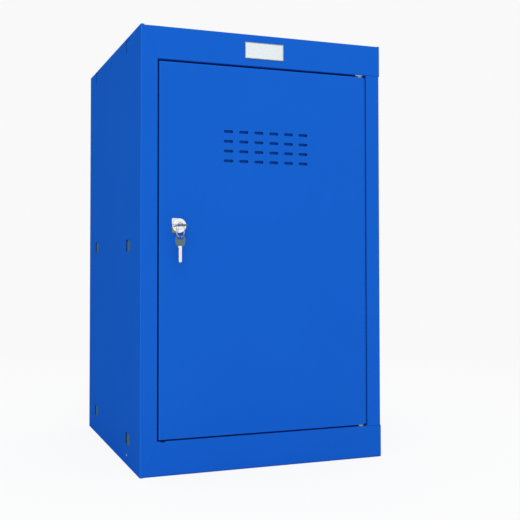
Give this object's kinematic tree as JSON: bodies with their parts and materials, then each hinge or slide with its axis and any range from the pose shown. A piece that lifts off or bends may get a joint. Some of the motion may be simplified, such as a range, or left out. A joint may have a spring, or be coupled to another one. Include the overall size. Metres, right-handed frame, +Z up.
{
  "type": "cube locker",
  "caption": "Steel cube locker with a folded-sheet body, a vented flush door on pivot pins, a cam lock with its keys on a ring, and a shelf inside.",
  "frame": {"origin": "middle of the underside of the body, on the surface it stands on", "axes": "+X to the right seen from the front, +Y from the door towards the back, +Z up"},
  "size_m": [0.4, 0.4387, 0.668],
  "materials": {
    "blue_paint": "blue powder coat, satin, fine texture",
    "zinc_plate": "zinc plated steel, satin",
    "bright_steel": "bright steel, polished",
    "brass": "turned brass",
    "black_rubber": "matt rubber",
    "badge_metal": "satin silver rim",
    "badge_white": "blank white insert",
    "lock_chrome": "bright chrome",
    "key_steel": "nickel plated key blade",
    "key_plastic": "moulded grey bow"
  },
  "bodies": {
    "cabinet": {"left_side_panel": "blue_paint", "right_side_panel": "blue_paint", "top_panel": "blue_paint", "bottom_rail": "blue_paint", "bottom_panel": "blue_paint", "back_panel": "blue_paint", "shelf": "blue_paint", "floor_panel": "blue_paint", "floor_bracket_front_left": "zinc_plate", "floor_bracket_rear_left": "zinc_plate", "floor_bracket_front_right": "zinc_plate", "floor_bracket_rear_right": "zinc_plate", "shelf_bracket_front_left": "zinc_plate", "shelf_bracket_rear_left": "zinc_plate", "shelf_bracket_front_right": "zinc_plate", "shelf_bracket_rear_right": "zinc_plate", "base_rivets": "zinc_plate", "hinge_plate_upper": "zinc_plate", "hinge_plate_lower": "zinc_plate", "hinge_pin_upper": "bright_steel", "hinge_pin_lower": "bright_steel", "hinge_washer_upper": "bright_steel", "hinge_washer_lower": "brass", "door_buffers": "black_rubber", "badge_frame": "badge_metal", "badge_plate": "badge_white"},
    "door": {"door_panel": "blue_paint", "door_stiffener": "blue_paint", "vent_shield": "blue_paint", "door_edge_strip": "blue_paint", "pivot_block_upper": "zinc_plate", "pivot_block_lower": "zinc_plate", "lock_escutcheon": "zinc_plate", "lock_housing": "lock_chrome", "lock_nut": "zinc_plate"},
    "lock_core": {"lock_plug": "lock_chrome", "lock_wafers": "brass", "lock_cam": "zinc_plate", "cam_washer": "zinc_plate", "cam_screw": "zinc_plate"},
    "key": {"key_bow": "key_plastic", "key_blade": "key_steel"},
    "ring": {"key_ring": "bright_steel"},
    "spare_key": {"spare_key_bow": "key_plastic", "spare_key_blade": "key_steel"}
  },
  "joints": [
    {"name": "door_swing", "type": "hinge", "parent": "cabinet", "child": "door", "pos_m": [0.1657, -0.196, 0.334], "axis": [0, 0, 1], "range_deg": [0, 110]},
    {"name": "lock_turn", "type": "hinge", "parent": "door", "child": "lock_core", "pos_m": [-0.1414, -0.2025, 0.3696], "axis": [0, -1, 0], "range_deg": [0, 90]},
    {"name": "key_slide", "type": "slide", "parent": "lock_core", "child": "key", "axis": [0, -1, 0], "range_m": [0, 0.026]},
    {"name": "ring_roll", "type": "hinge", "parent": "key", "child": "ring", "pos_m": [-0.1414, -0.2245, 0.3696], "axis": [0, -1, 0], "range_deg": [-90, 0]},
    {"name": "spare_key_swing", "type": "hinge", "parent": "ring", "child": "spare_key", "pos_m": [-0.14679, -0.2289, 0.35137], "axis": [0.775, 0.632, 0], "range_deg": [-25, 25]}
  ],
  "couplings": [
    {"joint": "ring_roll", "follows": "lock_turn", "ratio": -1}
  ]
}
